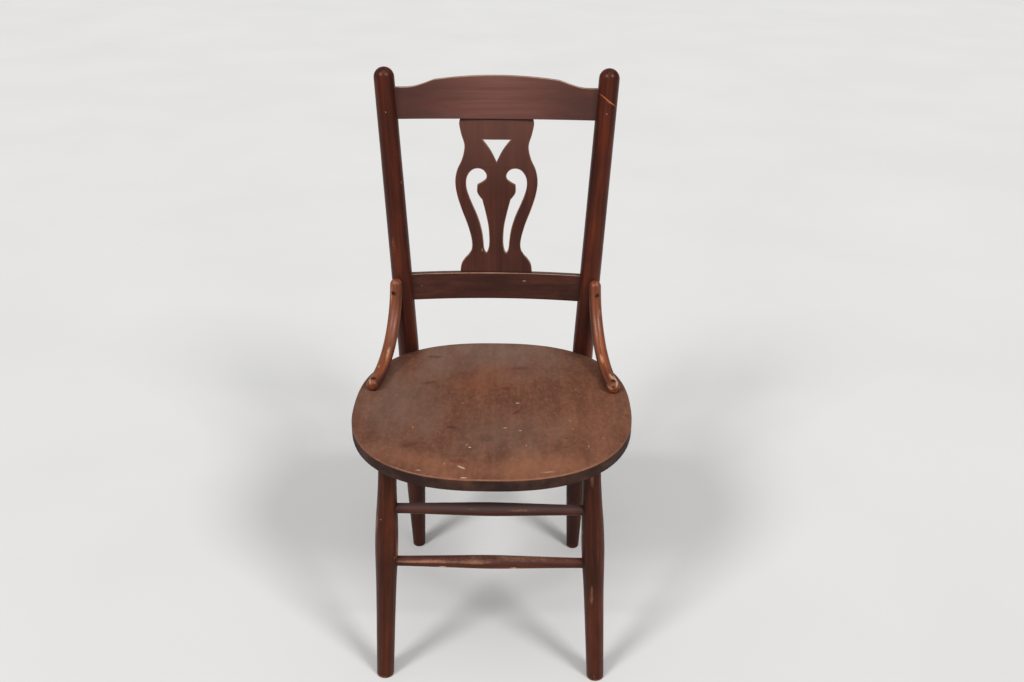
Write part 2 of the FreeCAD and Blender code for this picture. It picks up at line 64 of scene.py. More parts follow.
POST_FOOT = Vector((0.1543, SEAT_Y + 0.1934, 0.0))
POST_AT_SEAT = Vector((0.1606, SEAT_Y + 0.2031, SEAT_TOP))
POST_DOME = Vector((0.1929, SEAT_Y + 0.2816, 0.9143))
POST_RADIUS = 0.0187
POST_TOP_RADIUS = 0.0178
POST_TAPER = ((0.0, 0.0119), (0.063, 0.0145), (0.126, 0.0171), (0.180, POST_RADIUS))
POST_BEND = 0.400
POST_RECESS_RADIUS = 0.0055    # of the recess above the screw into the seat's edge
POST_RECESS_DEPTH = 0.0052
RIGHT_POST_SEED = 4.1
# painted shade on the rear legs below the seat, where the seat shades them
REAR_LEG_PAINTED_SHADE = 0.62
REAR_LEG_FADE = 0.12           # the painted shade grows over this height, from the seat downwards
POST_KNEE = POST_AT_SEAT - (POST_DOME - POST_AT_SEAT) * (
    (SEAT_TOP - SEAT_BOTTOM) / 2 / (POST_DOME.z - SEAT_TOP))

LEG_FOOT = Vector((0.1790, SEAT_Y - 0.1688, 0.0))
LEG_TOP = Vector((0.1580, SEAT_Y - 0.1560, SEAT_BOTTOM))
LEG_SHAPE = ((0.00, 0.0144), (0.17, 0.0151), (0.34, 0.0159), (0.46, 0.0167), (0.56, 0.0179),
             (0.65, 0.0185), (0.75, 0.0176), (0.85, 0.0156), (0.93, 0.0145), (1.00, 0.0142))
LEG_STUB = 0.003               # how far the leg's body goes on inside the seat
LEG_STUB_CAP = 0.0032          # how far along the point that closes it lies
LEG_SEED = 7.7

STRETCHER_SHAPE = ((0.0, 0.0082), (0.2, 0.0084), (0.6, 0.0098), (1.0, 0.0110),
                   (1.4, 0.0098), (1.8, 0.0084), (2.0, 0.0082))
STRETCHER_STOP = 0.005
STRETCHER_SIDES = 36
CAP_RISE = 0.0002              # how far the point that closes a rod lies past its last ring
UPPER_STRETCHER_HEIGHT = 0.3333
LOWER_STRETCHER_HEIGHT = 0.2325
REAR_STRETCHER_HEIGHT = 0.285
UPPER_STRETCHER_SEED = 21.0
LOWER_STRETCHER_SEED = 25.0
REAR_STRETCHER_SEED = 29.0
JOINT_INSET = 0.016            # from a leg's axis to where the grime and painted contact shade round its joint are centred
FOOT_ROUND = 0.0018
END_GAP = 0.00005              # between the point that closes a rod's end and the ring after it

LEAN = math.atan2(POST_DOME.y - POST_AT_SEAT.y, POST_DOME.z - SEAT_TOP)
SPLAY = (POST_DOME.x - POST_AT_SEAT.x) / math.hypot(POST_DOME.y - POST_AT_SEAT.y, POST_DOME.z - SEAT_TOP)
RAIL_THICKNESS = 0.019
RAIL_BOW = 0.022
RAIL_ARRIS = 0.0014
RAIL_STATIONS = 181            # cross-sections along a rail
CREST_SEED = 41.0
LOWER_RAIL_SEED = 45.0
PAINTED_SHEEN_HALF_WIDTH = 0.11       # of the painted sheen on the middle of the crest rail's front
LOWER_RAIL = (0.0934, 0.1414)
CREST_BOTTOM = 0.4157
CREST_END = CREST_BOTTOM + 0.0539
CREST_TOP = CREST_BOTTOM + 0.0740
CREST_CORNER = (0.109, CREST_BOTTOM + 0.0666)
CREST_COVE = ((0.158, 0.0), (0.146, 0.0011), (0.131, 0.0050))

SPLAT_THICKNESS = 0.010
SPLAT_SETBACK = 0.0213
SPLAT_ARRIS = 0.0009
SPLAT_INSET = 0.0011           # width of the band of faces just inside the arris
# how far down from the crest rail the painted sheen reaches on the splat
SPLAT_PAINTED_SHEEN_LENGTH = 0.13
SPLAT_EDGE = ((64.2, 0.0), (65.6, 9.4), (62.2, 26.4), (56.6, 47.4), (60.9, 69.6), (69.6, 88.8),
              (73.2, 109.0), (70.4, 132.2), (62.4, 158.4), (51.4, 187.6), (44.5, 213.8), (44.4, 231.8))
SPLAT_BASE_EDGE = ((50.5, 31.5), (57.6, 24.0), (63.2, 14.0), (65.2, 0.0))
SPLAT_COMMA = ((34.0, 115.2), (26.2, 110.9), (18.8, 105.0), (18.1, 96.9), (24.1, 89.1), (34.2, 86.5),
               (44.8, 90.6), (52.5, 102.1), (54.1, 116.1), (51.3, 130.2), (43.8, 149.4), (33.7, 172.6),
               (26.6, 195.8), (23.6, 215.0), (22.0, 231.1), (18.0, 238.6), (14.2, 231.1), (12.6, 216.0),
               (14.2, 189.8), (19.6, 163.6), (25.4, 141.4))
SPLAT_LOBE = ((25.4, 141.4), (30.4, 135.6), (34.4, 127.6), (34.0, 115.2))
SPLAT_TRIANGLE = ((24.8, 36.2), (0.0, 75.4))
SPLAT_HOLLOW = 1.5
MM = 0.001

HIP_RADIUS = 0.011
HIP_FLAT = 0.002
HIP_BEND = 0.140
HIP_END = Vector((0.2066, SEAT_Y + 0.036, SEAT_TOP + HIP_RADIUS - HIP_FLAT))
HIP_LAY = 0.024
HIP_TURN_OUT = math.radians(10.4)
HIP_TOP = 0.004
HIP_END_ROUND = 0.007
HIP_SCREW_LEVEL = 0.553
HIP_RECESS_RADIUS = 0.0041     # of the recess above the screw into the post
HIP_RECESS_DEPTH = 0.0036
SEAT_SCREW_RECESS_RADIUS = 0.0043
SEAT_SCREW_RECESS_DEPTH = 0.0030
SEAT_SCREW_INSET = 0.004       # from the screws' box to a screw's axis
HIP_SIDES = 40
HIP_SEED = 11.0
# painted shade on the rod's sides, darker towards its edges
HIP_EDGE_PAINTED_SHADE = 0.55

NAIL_RADIUS = 0.0013
NAIL_SIDES = 20
CREST_NAIL_INSET = 0.0015      # from the nails' box to a nail's axis
CREST_NAIL_SUNK = 0.0002       # from the nails' front to the rim of the domed head
LEG_NAIL_TURN = math.radians(28)
LEG_NAIL_REACH = 0.0102        # from the nail's middle to its head

RING_STEP = 0.005             # spacing of the rings along a rod
SIDES = 48                    # sides of a turned piece
DRILL_SIDES = 28
SHARP_ANGLE = math.radians(50)
X = Vector((1, 0, 0))
Z = Vector((0, 0, 1))
BOTH_SIDES = (("right", 1), ("left", -1))


# ---------------------------------------------------------------- curves

def smooth_table(table, t):
    """Value at t of a smooth curve through a table of (t, value)."""
    last = len(table) - 1
    i = 0
    while i < last - 1 and t > table[i + 1][0]:
        i += 1

    def slope(k):
        a = table[max(k - 1, 0)]
        b = table[min(k + 1, last)]
        return (b[1] - a[1]) / (b[0] - a[0])

    width = table[i + 1][0] - table[i][0]
    u = min(max((t - table[i][0]) / width, 0.0), 1.0)
    u2 = u * u
    u3 = u2 * u
    return ((2 * u3 - 3 * u2 + 1) * table[i][1] + (u3 - 2 * u2 + u) * width * slope(i)
            + (3 * u2 - 2 * u3) * table[i + 1][1] + (u3 - u2) * width * slope(i + 1))


def smooth_points(points, per_span):
    """Points along a smooth open curve through the given 2-D points."""
    ends = [2 * points[0] - points[1]] + list(points) + [2 * points[-1] - points[-2]]
    out = []
    for a, b, c, d in zip(ends, ends[1:], ends[2:], ends[3:]):
        for k in range(per_span):
            u = k / per_span
            out.append(0.5 * (2 * b + (c - a) * u + (2 * a - 5 * b + 4 * c - d) * u ** 2
                              + (3 * b - a - 3 * c + d) * u ** 3))
    out.append(points[-1].copy())
    return out


def straight(a, b):
    """Points from a to b, b left out."""
    count = max(2, round((b - a).length / RING_STEP))
    return [a.lerp(b, i / count) for i in range(count)]


def arc_points(start, way_in, way_out, radius):
    """Points on a circular bend, its end left out, and the end."""
    angle = way_in.angle(way_out)
    side = (way_out - way_in * way_in.dot(way_out)).normalized()
    centre = start + side * radius
    count = max(4, round(radius * angle / RING_STEP))
    points = []
    for i in range(count + 1):
        turn = angle * i / count
        points.append(centre - side * (radius * math.cos(turn)) + way_in * (radius * math.sin(turn)))
    return points[:-1], points[-1]


def tilted(x, y, along):
    """A point of the back: x across, y behind the posts' plane, along the back above the seat."""
    return Vector((x, POST_AT_SEAT.y + along * math.sin(LEAN) + y * math.cos(LEAN),
                   SEAT_TOP + along * math.cos(LEAN) - y * math.sin(LEAN)))


def post_half_spacing(along):
    return POST_AT_SEAT.x + SPLAY * along


def mirrored(points):
    return [Vector((-p.x, p.y, p.z)) for p in points]


# ---------------------------------------------------------------- pieces

def near(point, marks):
    """From 0 to 1: how close a point is to the nearest of the marks (place, reach)."""
    best = 0.0
    for place, reach in marks:
        best = max(best, math.exp(-((point - place).length / reach) ** 2))
    return best


class Builder:
    """Collects vertices, faces and the values that the wood material reads."""

    def __init__(self):
        self.verts = []
        self.faces = []
        self.grain = []
        self.wear_and_highlight = []
        self.dirt_and_shade = []
        self.painted_sheen = []

    def vertex(self, place, grain, wear_and_highlight=0.0, dirt_and_shade=0.0, painted_sheen=0.0):
        self.verts.append(place)
        self.grain.append(grain)
        self.wear_and_highlight.append(wear_and_highlight)
        self.dirt_and_shade.append(dirt_and_shade)
        self.painted_sheen.append(painted_sheen)
        return len(self.verts) - 1

    def bridge(self, ring_a, ring_b):
        """Quads between two closed rings. A ring of one vertex closes the end."""
        count = max(len(ring_a), len(ring_b))
        for i in range(count):
            j = (i + 1) % count
            if len(ring_a) == 1:
                self.faces.append((ring_a[0], ring_b[j], ring_b[i]))
            elif len(ring_b) == 1:
                self.faces.append((ring_a[i], ring_a[j], ring_b[0]))
            else:
                self.faces.append((ring_a[i], ring_a[j], ring_b[j], ring_b[i]))

    def mesh(self, name):
        mesh = bpy.data.meshes.new(name)
        mesh.from_pydata([tuple(v) for v in self.verts], [], self.faces)
        put_values(mesh, self.grain, self.wear_and_highlight, self.dirt_and_shade, self.painted_sheen)
        return mesh


def put_values(mesh, grain, wear_and_highlight, dirt_and_shade, painted_sheen):
    """Stores the material's values on a mesh's points."""
    layer = mesh.attributes.new("grain", "FLOAT_VECTOR", "POINT")
    layer.data.foreach_set("vector", [c for v in grain for c in v])
    for name, values in (("wear_and_highlight", wear_and_highlight), ("dirt_and_shade", dirt_and_shade), ("painted_sheen", painted_sheen)):
        layer = mesh.attributes.new(name, "FLOAT", "POINT")
        layer.data.foreach_set("value", values)


def piece(name, mesh, material, nodes, sharp=SHARP_ANGLE):
    """Adds a mesh to the scene as a piece of the chair."""
    tidy = bmesh.new()
    tidy.from_mesh(mesh)
    bmesh.ops.recalc_face_normals(tidy, faces=tidy.faces)
    tidy.to_mesh(mesh)
    tidy.free()
    mesh.shade_smooth()
    mesh.set_sharp_from_angle(angle=sharp)
    obj = bpy.data.objects.new(name, mesh)
    bpy.context.scene.collection.objects.link(obj)
    mesh.materials.append(material)
    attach(obj, "root")
    if nodes:
        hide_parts(*nodes)
    return obj


def rod(path, radii, seed, sides=SIDES, waver=0.0035, wear_and_highlight=None, dirt_and_shade=(), floor=None):
    """A round rod along a path. An end with radius 0 is closed by one vertex."""
    build = Builder()
    side = X if abs((path[1] - path[0]).normalized().x) < 0.9 else Z
    length = 0.0
    rings = []
    for i, (centre, radius) in enumerate(zip(path, radii)):
        before = path[max(i - 1, 0)]
        after = path[min(i + 1, len(path) - 1)]
        way = (after - before).normalized()
        side = (side - way * side.dot(way)).normalized()
        up = way.cross(side)
        if i:
            length += (centre - path[i - 1]).length
        if radius == 0.0:
            rings.append([build.vertex(centre, (length + seed, seed, seed), 0.0, near(centre, dirt_and_shade))])
            continue
        ring = []
        for k in range(sides):
            angle = 2 * math.pi * k / sides
            out = side * math.cos(angle) + up * math.sin(angle)
            bump = noise.noise(Vector((math.cos(angle), math.sin(angle), length * 14 + seed)))
            place = centre + out * (radius * (1 + waver * bump))
            if floor is not None:
                place.z = max(place.z, floor)
            local = (length + seed, radius * math.cos(angle) + seed, radius * math.sin(angle))
            worn_and_highlit = wear_and_highlight(length, angle, place) if wear_and_highlight else 0.0
            ring.append(build.vertex(place, local, worn_and_highlit, near(place, dirt_and_shade)))
        rings.append(ring)
    for a, b in zip(rings, rings[1:]):
        build.bridge(a, b)
    return build


def patches(along, angle, spread, shift):
    """Soft noise round a rod, for where its varnish has worn through."""
    return noise.noise(Vector((along, math.cos(angle) * spread + shift, math.sin(angle) * spread)))


def foot_rings(foot, way, radius):
    """Centres and radii of a foot cut level on the floor, with a rounded edge."""
    path = [foot, foot + way * END_GAP]
    radii = [0.0, radius - FOOT_ROUND]
    for i in range(1, 6):
        turn = math.pi / 2 * i / 5
        path.append(foot + way * (FOOT_ROUND * (1 - math.cos(turn))) + way * END_GAP)
        radii.append(radius - FOOT_ROUND * (1 - math.sin(turn)))
    return path, radii


def dome_rings(centre, way, radius, steps=10):
    """Centres and radii of a half ball."""
    path = []
    radii = []
    for i in range(steps + 1):
        turn = math.pi / 2 * i / steps
        path.append(centre + way * (radius * math.sin(turn)))
        radii.append(0.0 if i == steps else radius * math.cos(turn))
    return path, radii


def cut_hole(obj, start, way, radius, depth):
    """Bores a round blind hole, or a recess, into a piece."""
    tool_mesh = bpy.data.meshes.new("drill")
    drill = bmesh.new()
    bmesh.ops.create_cone(drill, cap_ends=True, segments=DRILL_SIDES, radius1=radius, radius2=radius,
                          depth=1.0)
    drill.to_mesh(tool_mesh)
    drill.free()
    tool = bpy.data.objects.new("drill", tool_mesh)
    bpy.context.scene.collection.objects.link(tool)
    reach = depth + 3 * radius
    middle = start + way * (depth - reach / 2)
    tool.matrix_world = (Matrix.Translation(middle) @ way.to_track_quat("Z", "Y").to_matrix().to_4x4()
                         @ Matrix.Diagonal((1, 1, reach, 1)))
    cutter = obj.modifiers.new("drill", "BOOLEAN")
    cutter.operation = "DIFFERENCE"
    cutter.solver = "EXACT"
    cutter.object = tool
    bpy.context.view_layer.update()
    graph = bpy.context.evaluated_depsgraph_get()
    done = bpy.data.meshes.new_from_object(obj.evaluated_get(graph))
    obj.modifiers.clear()
    old = obj.data
    obj.data = done
    done.set_sharp_from_angle(angle=SHARP_ANGLE)
    bpy.data.meshes.remove(old)
    bpy.data.objects.remove(tool)
    bpy.data.meshes.remove(tool_mesh)


# ---------------------------------------------------------------- materials

class Graph:
    """Short names for building a material's nodes."""

    def __init__(self, name):
        self.material = bpy.data.materials.new(name)
        self.material.use_nodes = True
        self.nodes = self.material.node_tree.nodes
        self.links = self.material.node_tree.links
        self.shader = self.nodes["Principled BSDF"]

    def add(self, kind, inputs=None, **settings):
        made = self.nodes.new("ShaderNode" + kind)
        for name, value in settings.items():
            setattr(made, name, value)
        for key, value in (inputs or {}).items():
            socket = made.inputs[key]
            if isinstance(value, bpy.types.NodeSocket):
                self.links.new(value, socket)
            else:
                socket.default_value = value
        return made

    def math(self, operation, a, b=0.0, clamp=False):
        return self.add("Math", {0: a, 1: b}, operation=operation, use_clamp=clamp).outputs[0]

    def scaled(self, vector, factors):
        return self.add("VectorMath", {0: vector, 1: factors}, operation="MULTIPLY").outputs[0]

    def noise(self, vector, scale, detail=4.0, roughness=0.55, distortion=0.0):
        made = self.add("TexNoise", {"Vector": vector, "Scale": scale, "Detail": detail,
                                     "Roughness": roughness, "Distortion": distortion})
        return made.outputs["Fac"]

    def between(self, value, low, high, out_low=0.0, out_high=1.0):
        made = self.add("MapRange", {"Value": value, "From Min": low, "From Max": high,
                                     "To Min": out_low, "To Max": out_high})
        return made.outputs["Result"]

    def mix(self, factor, a, b, blend="MIX"):
        made = self.add("Mix", data_type="RGBA", blend_type=blend)
        for socket, value in ((made.inputs[0], factor), (made.inputs[6], a), (made.inputs[7], b)):
            if isinstance(value, bpy.types.NodeSocket):
                self.links.new(value, socket)
            else:
                socket.default_value = value
        return made.outputs[2]

    def attribute(self, name, output="Fac"):
        return self.add("Attribute", attribute_name=name).outputs[output]

    def link(self, value, name):
        self.links.new(value, self.shader.inputs[name])


def srgb(red, green, blue):
    """Linear RGBA from a colour as it looks on screen, 0 to 255."""
    def linear(c):
        c = c / 255
        return c / 12.92 if c <= 0.04045 else ((c + 0.055) / 1.055) ** 2.4
    return (linear(red), linear(green), linear(blue), 1.0)


# colour of grime, also used for painted shade: contact shade at joints, shade under and beside the seat,
# shaded rod edges
GRIME_AND_SHADE_COLOUR = (0.019, 0.0065, 0.0040, 1.0)
LARGE_MARK = 0.025             # marks larger than this fade out softly


def wood(name, deep, base, pale, worn_and_highlit, rough=0.40, nicks=0.5, specular=0.2, contrast=1.0, mottle=0.0,
         painted_sheen_colour=None, marks=()):
    """Old stained wood: fibres and figure along the grain, blotches, worn arrises with painted edge
    highlights, nicks, grime mixed with painted shade, and a painted sheen.
    """
    g = Graph(name)
    grain = g.attribute("grain", "Vector")
    wear_and_highlight = g.attribute("wear_and_highlight")
    dirt_and_shade = g.attribute("dirt_and_shade")
    painted_sheen = g.attribute("painted_sheen")

    fibre = g.noise(g.scaled(grain, (18.0, 900.0, 900.0)), 1.0, 3.0, 0.6)
    streak = g.noise(g.scaled(grain, (5.0, 170.0, 170.0)), 1.0, 4.0, 0.6, 0.3)
    figure = g.noise(g.scaled(grain, (3.0, 34.0, 34.0)), 1.0, 3.0, 0.55, 0.8)
    blotch = g.noise(g.scaled(grain, (13.0, 22.0, 22.0)), 1.0, 5.0, 0.62)
    speckle = g.noise(g.scaled(grain, (420.0, 420.0, 420.0)), 1.0, 3.0, 0.7)

    tone = g.math("ADD", g.math("MULTIPLY", streak, 0.45), g.math("MULTIPLY", figure, 0.55))
    ramp = g.add("ValToRGB", {"Fac": tone})
    stops = ramp.color_ramp.elements
    stops[0].position = 0.5 - 0.16 / contrast
    stops[0].color = deep
    stops[1].position = 0.5 + 0.16 / contrast
    stops[1].color = pale
    middle = stops.new(0.5)
    middle.color = base
    colour = ramp.outputs["Color"]
    colour = g.mix(g.between(blotch, 0.45, 0.75, 0.0, 0.55), colour, deep)
    colour = g.mix(g.between(blotch, 0.44, 0.26, 0.0, 0.45), colour, pale)
    if mottle:
        cloud = g.noise(g.scaled(grain, (95.0, 150.0, 150.0)), 1.0, 5.0, 0.72, 0.6)
        colour = g.mix(g.between(cloud, 0.50, 0.66, 0.0, mottle), colour, deep)
        colour = g.mix(g.between(cloud, 0.48, 0.34, 0.0, mottle), colour, pale)
    colour = g.mix(g.between(fibre, 0.55, 0.80, 0.0, 0.40 * contrast), colour, deep)
    colour = g.mix(g.between(speckle, 0.60, 0.80, 0.0, 0.25), colour, deep)

    # painted sheen: a pale, reflection-like haze mixed over the colour
    painted_sheen = g.math("MULTIPLY", painted_sheen, g.between(streak, 0.3, 0.7, 1.0, 0.55))
    colour = g.mix(painted_sheen, colour, painted_sheen_colour or worn_and_highlit)

    for place, size, turn, tint, strength in marks:
        spot = g.add("Mapping", {"Vector": grain, "Location": (place[0], place[1], 0.0),
                                 "Rotation": (0.0, 0.0, turn), "Scale": (size[0], size[1], 1.0)},
                     vector_type="TEXTURE")
        flat = g.scaled(spot.outputs[0], (1.0, 1.0, 0.0))
        away = g.add("VectorMath", {0: flat}, operation="LENGTH").outputs["Value"]
        if max(size) > LARGE_MARK:
            away = g.math("ADD", away, g.math("MULTIPLY", g.math("SUBTRACT", blotch, 0.5), 2.2))
            away = g.math("ADD", away, g.math("MULTIPLY", g.math("SUBTRACT", streak, 0.5), 1.2))
            cover = g.between(away, 1.5, 0.1, 0.0, strength)
        else:
            away = g.math("ADD", away, g.math("MULTIPLY", g.math("SUBTRACT", speckle, 0.5), 1.3))
            cover = g.between(away, 1.0, 0.55, 0.0, strength)
        colour = g.mix(cover, colour, tint)

    cells = g.add("TexVoronoi", {"Vector": g.scaled(grain, (38.0, 95.0, 95.0)), "Scale": 1.0},
                  feature="F1")
    rare = g.add("SeparateColor", {"Color": cells.outputs["Color"]}).outputs[0]
    nick = g.math("MULTIPLY", g.between(cells.outputs["Distance"], 0.16, 0.08),
                  g.math("GREATER_THAN", rare, 0.93))
    scrape_noise = g.noise(g.scaled(grain, (25.0, 240.0, 240.0)), 1.0, 6.0, 0.7, 1.2)
    scrape = g.between(scrape_noise, 0.70, 0.76, 0.0, 0.5)
    colour = g.mix(g.math("MULTIPLY", g.math("MAXIMUM", nick, scrape), nicks), colour, worn_and_highlit)

    # bare, worn wood: real wear, and painted highlights along arrises and the seat's rim
    ragged = g.math("ADD", wear_and_highlight, g.math("MULTIPLY", g.math("SUBTRACT", blotch, 0.5), 1.1))
    ragged = g.math("ADD", ragged, g.math("MULTIPLY", g.math("SUBTRACT", speckle, 0.5), 0.6))
    bare_and_highlit = g.math("MULTIPLY", g.between(ragged, 0.42, 0.95), g.between(wear_and_highlight, 0.0, 0.2))
    colour = g.mix(bare_and_highlit, colour, worn_and_highlit)
    # grime, and painted shade at joints, under the seat and along rod edges
    grime_and_shade = g.math("MULTIPLY", dirt_and_shade, g.between(blotch, 0.2, 0.6, 0.65, 1.0))
    colour = g.mix(grime_and_shade, colour, GRIME_AND_SHADE_COLOUR)
    g.link(colour, "Base Color")

    gloss = g.between(blotch, 0.3, 0.7, rough - 0.07, rough + 0.10)
    gloss = g.math("ADD", gloss, g.math("MULTIPLY", g.math("ADD", bare_and_highlit, grime_and_shade), 0.22), clamp=True)
    g.link(gloss, "Roughness")
    g.shader.inputs["Specular IOR Level"].default_value = specular

    height = g.math("ADD", g.math("MULTIPLY", fibre, 0.35), g.math("MULTIPLY", streak, 0.6))
    height = g.math("SUBTRACT", height, g.math("MULTIPLY", g.math("MAXIMUM", nick, scrape), 1.4))
    bump = g.add("Bump", {"Height": height, "Strength": 0.22, "Distance": 0.0006})
    g.link(bump.outputs["Normal"], "Normal")
    return g.material


def steel(name, colour, rust, rough):
    """Dull fastener steel with tarnish."""
    g = Graph(name)
    place = g.add("TexCoord").outputs["Object"]
    darkening = g.noise(place, 900.0, 4.0, 0.6)
    lines = g.noise(g.scaled(place, (3000.0, 600.0, 600.0)), 1.0, 2.0)
    g.link(g.mix(g.between(darkening, 0.45, 0.7), colour, rust), "Base Color")
    g.link(g.between(darkening, 0.3, 0.7, rough - 0.1, rough + 0.25), "Roughness")
    g.shader.inputs["Metallic"].default_value = 0.9
    bump = g.add("Bump", {"Height": lines, "Strength": 0.2, "Distance": 0.0002})
    g.link(bump.outputs["Normal"], "Normal")
    return g.material


def stage_material(name, colour):
    g = Graph(name)
    place = g.add("TexCoord").outputs["Object"]
    cloud = g.noise(place, 1.6, 3.0, 0.5)
    shade = tuple(c * 0.96 for c in colour[:3]) + (1.0,)
    g.link(g.mix(g.between(cloud, 0.3, 0.7), colour, shade), "Base Color")
    g.shader.inputs["Roughness"].default_value = 0.8
    g.shader.inputs["Specular IOR Level"].default_value = 0.2
    return g.material


PALE_NICK = srgb(196, 160, 132)
RED_STAIN = srgb(88, 34, 24)
SCRATCH = srgb(186, 104, 60)
RUST_STAIN = srgb(128, 66, 38)
DARK_STAIN = srgb(62, 38, 28)
GREY_WEAR = srgb(112, 92, 80)
ORANGE_WEAR = srgb(156, 104, 76)

# place on the seat (from its centre), half size, turn in degrees, colour, strength
SEAT_MARKS = (
    ((0.013, -0.105), (0.100, 0.070), 10, GREY_WEAR, 0.35),
    ((-0.150, 0.010), (0.070, 0.120), 0, GREY_WEAR, 0.50),
    ((0.000, 0.150), (0.150, 0.060), 0, GREY_WEAR, 0.40),
    ((0.060, -0.195), (0.120, 0.035), 5, ORANGE_WEAR, 0.45),
    ((0.175, -0.080), (0.045, 0.110), -8, ORANGE_WEAR, 0.15),
    ((0.000, 0.205), (0.140, 0.030), 0, GREY_WEAR, 0.45),
    ((0.047, 0.118), (0.034, 0.018), 0, RED_STAIN, 0.30),
    ((-0.013, 0.118), (0.040, 0.024), 0, RUST_STAIN, 0.28),
    ((0.023, 0.053), (0.012, 0.008), 0, RED_STAIN, 0.50),
    ((-0.030, 0.070), (0.050, 0.030), 10, RUST_STAIN, 0.30),
    ((-0.008, -0.111), (0.016, 0.016), 0, DARK_STAIN, 0.30),
    ((0.120, -0.109), (0.003, 0.003), 0, DARK_STAIN, 0.60),
    ((-0.120, -0.175), (0.070, 0.028), -28, ORANGE_WEAR, 0.32),
    ((0.047, 0.128), (0.022, 0.006), 6, DARK_STAIN, 0.40),
    ((-0.112, 0.070), (0.018, 0.007), 15, DARK_STAIN, 0.50),
    ((-0.109, 0.169), (0.016, 0.007), 0, DARK_STAIN, 0.50),
    ((-0.127, -0.133), (0.022, 0.010), 20, DARK_STAIN, 0.35),
    ((-0.064, -0.079), (0.011, 0.006), 0, DARK_STAIN, 0.50),
    ((-0.075, 0.033), (0.0032, 0.0026), 0, DARK_STAIN, 0.95),
    ((-0.047, -0.179), (0.016, 0.008), 0, RED_STAIN, 0.45),
    ((0.040, -0.029), (0.011, 0.004), 50, RED_STAIN, 0.75),
    ((0.042, 0.002), (0.0042, 0.0016), 10, PALE_NICK, 0.95),
    ((-0.041, -0.196), (0.0090, 0.0022), -35, PALE_NICK, 0.90),
    ((-0.031, -0.139), (0.0026, 0.0020), 0, PALE_NICK, 0.85),
    ((0.023, -0.079), (0.0036, 0.0016), 0, PALE_NICK, 0.75),
    ((0.047, -0.087), (0.0030, 0.0016), 15, PALE_NICK, 0.75),
    ((-0.036, -0.224), (0.0060, 0.0020), 0, PALE_NICK, 0.85),
    ((-0.105, -0.205), (0.0050, 0.0018), 0, PALE_NICK, 0.60),
    ((0.090, -0.206), (0.0120, 0.0016), 8, PALE_NICK, 0.50),
)


# on the right-hand post: scratches near the crest rail, in the rod's own grain coordinates
POST_MARKS = (
    ((RIGHT_POST_SEED + 0.887, RIGHT_POST_SEED), (0.0010, 0.0210), math.radians(33), SCRATCH, 0.85),
    ((RIGHT_POST_SEED + 0.883, RIGHT_POST_SEED + 0.004), (0.0007, 0.0100), math.radians(24), SCRATCH, 0.60),
)

# on the lower stretcher: nicks through the stain
STRETCHER_MARKS = (
    ((LOWER_STRETCHER_SEED + 0.087, LOWER_STRETCHER_SEED - 0.005), (0.0075, 0.0026), 0, PALE_NICK, 0.9),
    ((LOWER_STRETCHER_SEED + 0.201, LOWER_STRETCHER_SEED - 0.005), (0.0065, 0.0024), 0, PALE_NICK, 0.9),
    ((LOWER_STRETCHER_SEED + 0.186, LOWER_STRETCHER_SEED - 0.002), (0.0140, 0.0030), 0, RED_STAIN, 0.7),
)


def seat_marks():
    """The seat's marks in its own grain coordinates: along the grain is Y."""
    out = []
    for place, size, turn, tint, strength in SEAT_MARKS:
        out.append(((place[1], place[0]), (size[1], size[0]), math.radians(-turn), tint, strength))
    return out


SEAT_WOOD = wood("seat_wood", srgb(76, 46, 33), srgb(104, 64, 46), srgb(128, 84, 62), srgb(176, 128, 98),
                 rough=0.50, nicks=0.55, specular=0.22, contrast=0.5, mottle=0.55, marks=seat_marks())
FRAME_WOOD = wood("frame_wood", srgb(38, 13, 7), srgb(66, 26, 13), srgb(92, 39, 20), srgb(150, 88, 58),
                  rough=0.33, specular=0.17, marks=POST_MARKS)
LEG_WOOD = wood("leg_wood", srgb(38, 14, 7), srgb(66, 28, 13), srgb(90, 40, 20), srgb(160, 112, 86),
                rough=0.38, specular=0.13, painted_sheen_colour=srgb(88, 76, 76), marks=STRETCHER_MARKS)
RAIL_WOOD = wood("rail_wood", srgb(34, 14, 10), srgb(58, 28, 20), srgb(80, 42, 31), srgb(172, 134, 108),
                 rough=0.36, specular=0.22, contrast=0.7, painted_sheen_colour=srgb(140, 94, 85))
SPLAT_WOOD = wood("splat_wood", srgb(46, 20, 14), srgb(68, 34, 25), srgb(86, 45, 34), srgb(150, 110, 88),
                  rough=0.42, contrast=0.6, painted_sheen_colour=srgb(132, 94, 82))
HIP_WOOD = wood("hip_rest_wood", srgb(58, 25, 12), srgb(106, 52, 28), srgb(146, 82, 50),
                srgb(206, 160, 122), rough=0.36, specular=0.32, contrast=1.2)
# the screws' steel is made dark, to paint the shade in their recesses
SCREW_STEEL_WITH_PAINTED_SHADE = steel("screw_steel", srgb(84, 76, 70), srgb(34, 24, 19), 0.35)
NAIL_STEEL = steel("nail_steel", srgb(150, 132, 118), srgb(104, 76, 60), 0.45)


# ---------------------------------------------------------------- seat

def seat_outline(angle):
    """Unit superellipse: the rounded square of the seat's edge."""
    c = math.cos(angle)
    s = math.sin(angle)
    reach = (abs(c) ** SEAT_SQUARENESS + abs(s) ** SEAT_SQUARENESS) ** (-1 / SEAT_SQUARENESS)
    return reach * c, reach * s


